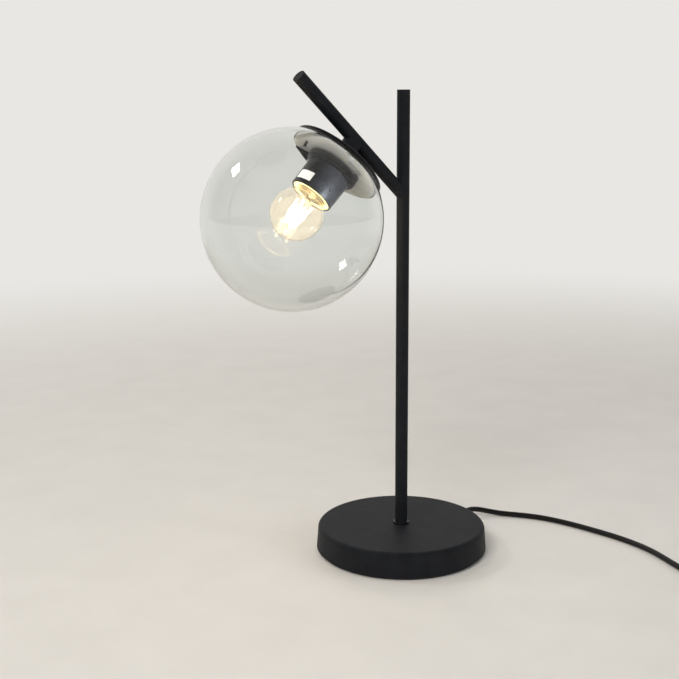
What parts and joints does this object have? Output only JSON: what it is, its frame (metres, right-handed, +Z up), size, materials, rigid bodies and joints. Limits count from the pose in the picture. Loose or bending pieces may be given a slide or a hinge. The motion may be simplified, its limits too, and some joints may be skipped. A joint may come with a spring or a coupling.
{
  "type": "glass globe table lamp",
  "caption": "Table lamp with a round weighted base, an upright post, a slanted side arm and a clear glass globe hanging under a domed cap.",
  "frame": {"origin": "centre of the foot pad's underside, on the table and on the post's axis", "axes": "+Z up along the post; the slanted arm rises towards -X in the XZ plane, and the globe hangs under it; +Y is across the arm"},
  "size_m": [0.55, 0.3321, 0.4264],
  "materials": {
    "black_paint": "matt powder coat",
    "zinc_steel": "zinc plated",
    "polished_plate": "bright plated steel",
    "cast_weight": "raw casting",
    "brass": "bright",
    "rubber_pad": "foam pad",
    "black_plastic": "satin moulding",
    "black_cord": "satin PVC jacket",
    "white_plastic": "polyamide",
    "opal_ceramic": "steatite",
    "clear_glass": "clear",
    "bulb_glass": "clear",
    "spring_steel": "blackened spring steel",
    "nickel": "nickel plated",
    "black_glass": "vitrite",
    "filament": "phosphor coat",
    "label_white": "paper",
    "live_jacket": "PVC",
    "neutral_jacket": "PVC",
    "gasket": "silicone"
  },
  "bodies": {
    "root": {"base_cover": "black_paint", "base_weight": "cast_weight", "bottom_plate": "zinc_steel", "foot_pad": "rubber_pad", "bottom_plate_screws": "zinc_steel", "base_nut": "zinc_steel", "base_nipple": "zinc_steel", "terminal_block": "white_plastic", "terminal_screws": "zinc_steel", "cord_clamp": "zinc_steel", "cord_clamp_screws": "zinc_steel", "post_foot_ring": "black_paint", "post_tube": "black_paint", "post_foot_bush": "brass", "arm_tube": "black_paint", "tube_end_caps": "black_paint", "neck_sleeve": "black_paint", "head_nipple": "zinc_steel", "domed_cap": "black_paint", "glass_gasket": "gasket", "reflector_plate": "polished_plate", "globe_hook": "spring_steel", "holder_dome": "black_plastic", "head_nut": "zinc_steel", "holder_barrel": "black_plastic", "holder_insulator": "opal_ceramic", "holder_terminals": "brass", "screw_shell": "brass", "centre_contact": "brass", "blank_label": "label_white", "cord_in_base": "black_cord", "cord_strain_relief": "black_plastic", "power_cord": "black_cord", "cord_coil": "black_cord", "cord_to_coil": "black_cord", "plug_cord": "black_cord", "cord_tie": "black_plastic", "switch_lower_shell": "black_plastic", "switch_upper_shell": "black_plastic", "rocker_pin": "zinc_steel", "switch_contacts": "brass", "switch_screws": "zinc_steel", "switch_sleeves": "black_plastic", "plug_body": "black_plastic", "plug_strain_relief": "black_plastic", "plug_pins": "nickel", "live_wire": "live_jacket", "neutral_wire": "neutral_jacket", "lock_washers": "zinc_steel", "cord_inner_ends": "black_cord"},
    "globe": {"glass_globe": "clear_glass"},
    "bulb": {"bulb_glass": "bulb_glass", "bulb_screw_cap": "nickel", "bulb_insulator": "black_glass", "bulb_centre_contact": "nickel", "bulb_stem": "bulb_glass", "bulb_filaments": "filament"},
    "latch": {"globe_latch": "zinc_steel", "latch_bead": "black_plastic"},
    "rocker": {"switch_rocker": "black_plastic"}
  },
  "joints": [
    {"name": "globe_slide", "type": "slide", "parent": "root", "child": "globe", "axis": [-0.6965, 0, -0.7175], "range_m": [0, 0.11]},
    {"name": "bulb_slide", "type": "slide", "parent": "root", "child": "bulb", "axis": [-0.6965, 0, -0.7175], "range_m": [0, 0.026]},
    {"name": "latch_swing", "type": "hinge", "parent": "root", "child": "latch", "pos_m": [-0.06287, -0.03006, 0.34619], "axis": [-0.7171, -0.0349, 0.6961], "range_deg": [0, 22]},
    {"name": "rocker_tilt", "type": "hinge", "parent": "root", "child": "rocker", "pos_m": [0.24475, -0.23696, 0.0154], "axis": [0.2419, 0.9703, 0], "range_deg": [-9, 0]}
  ]
}
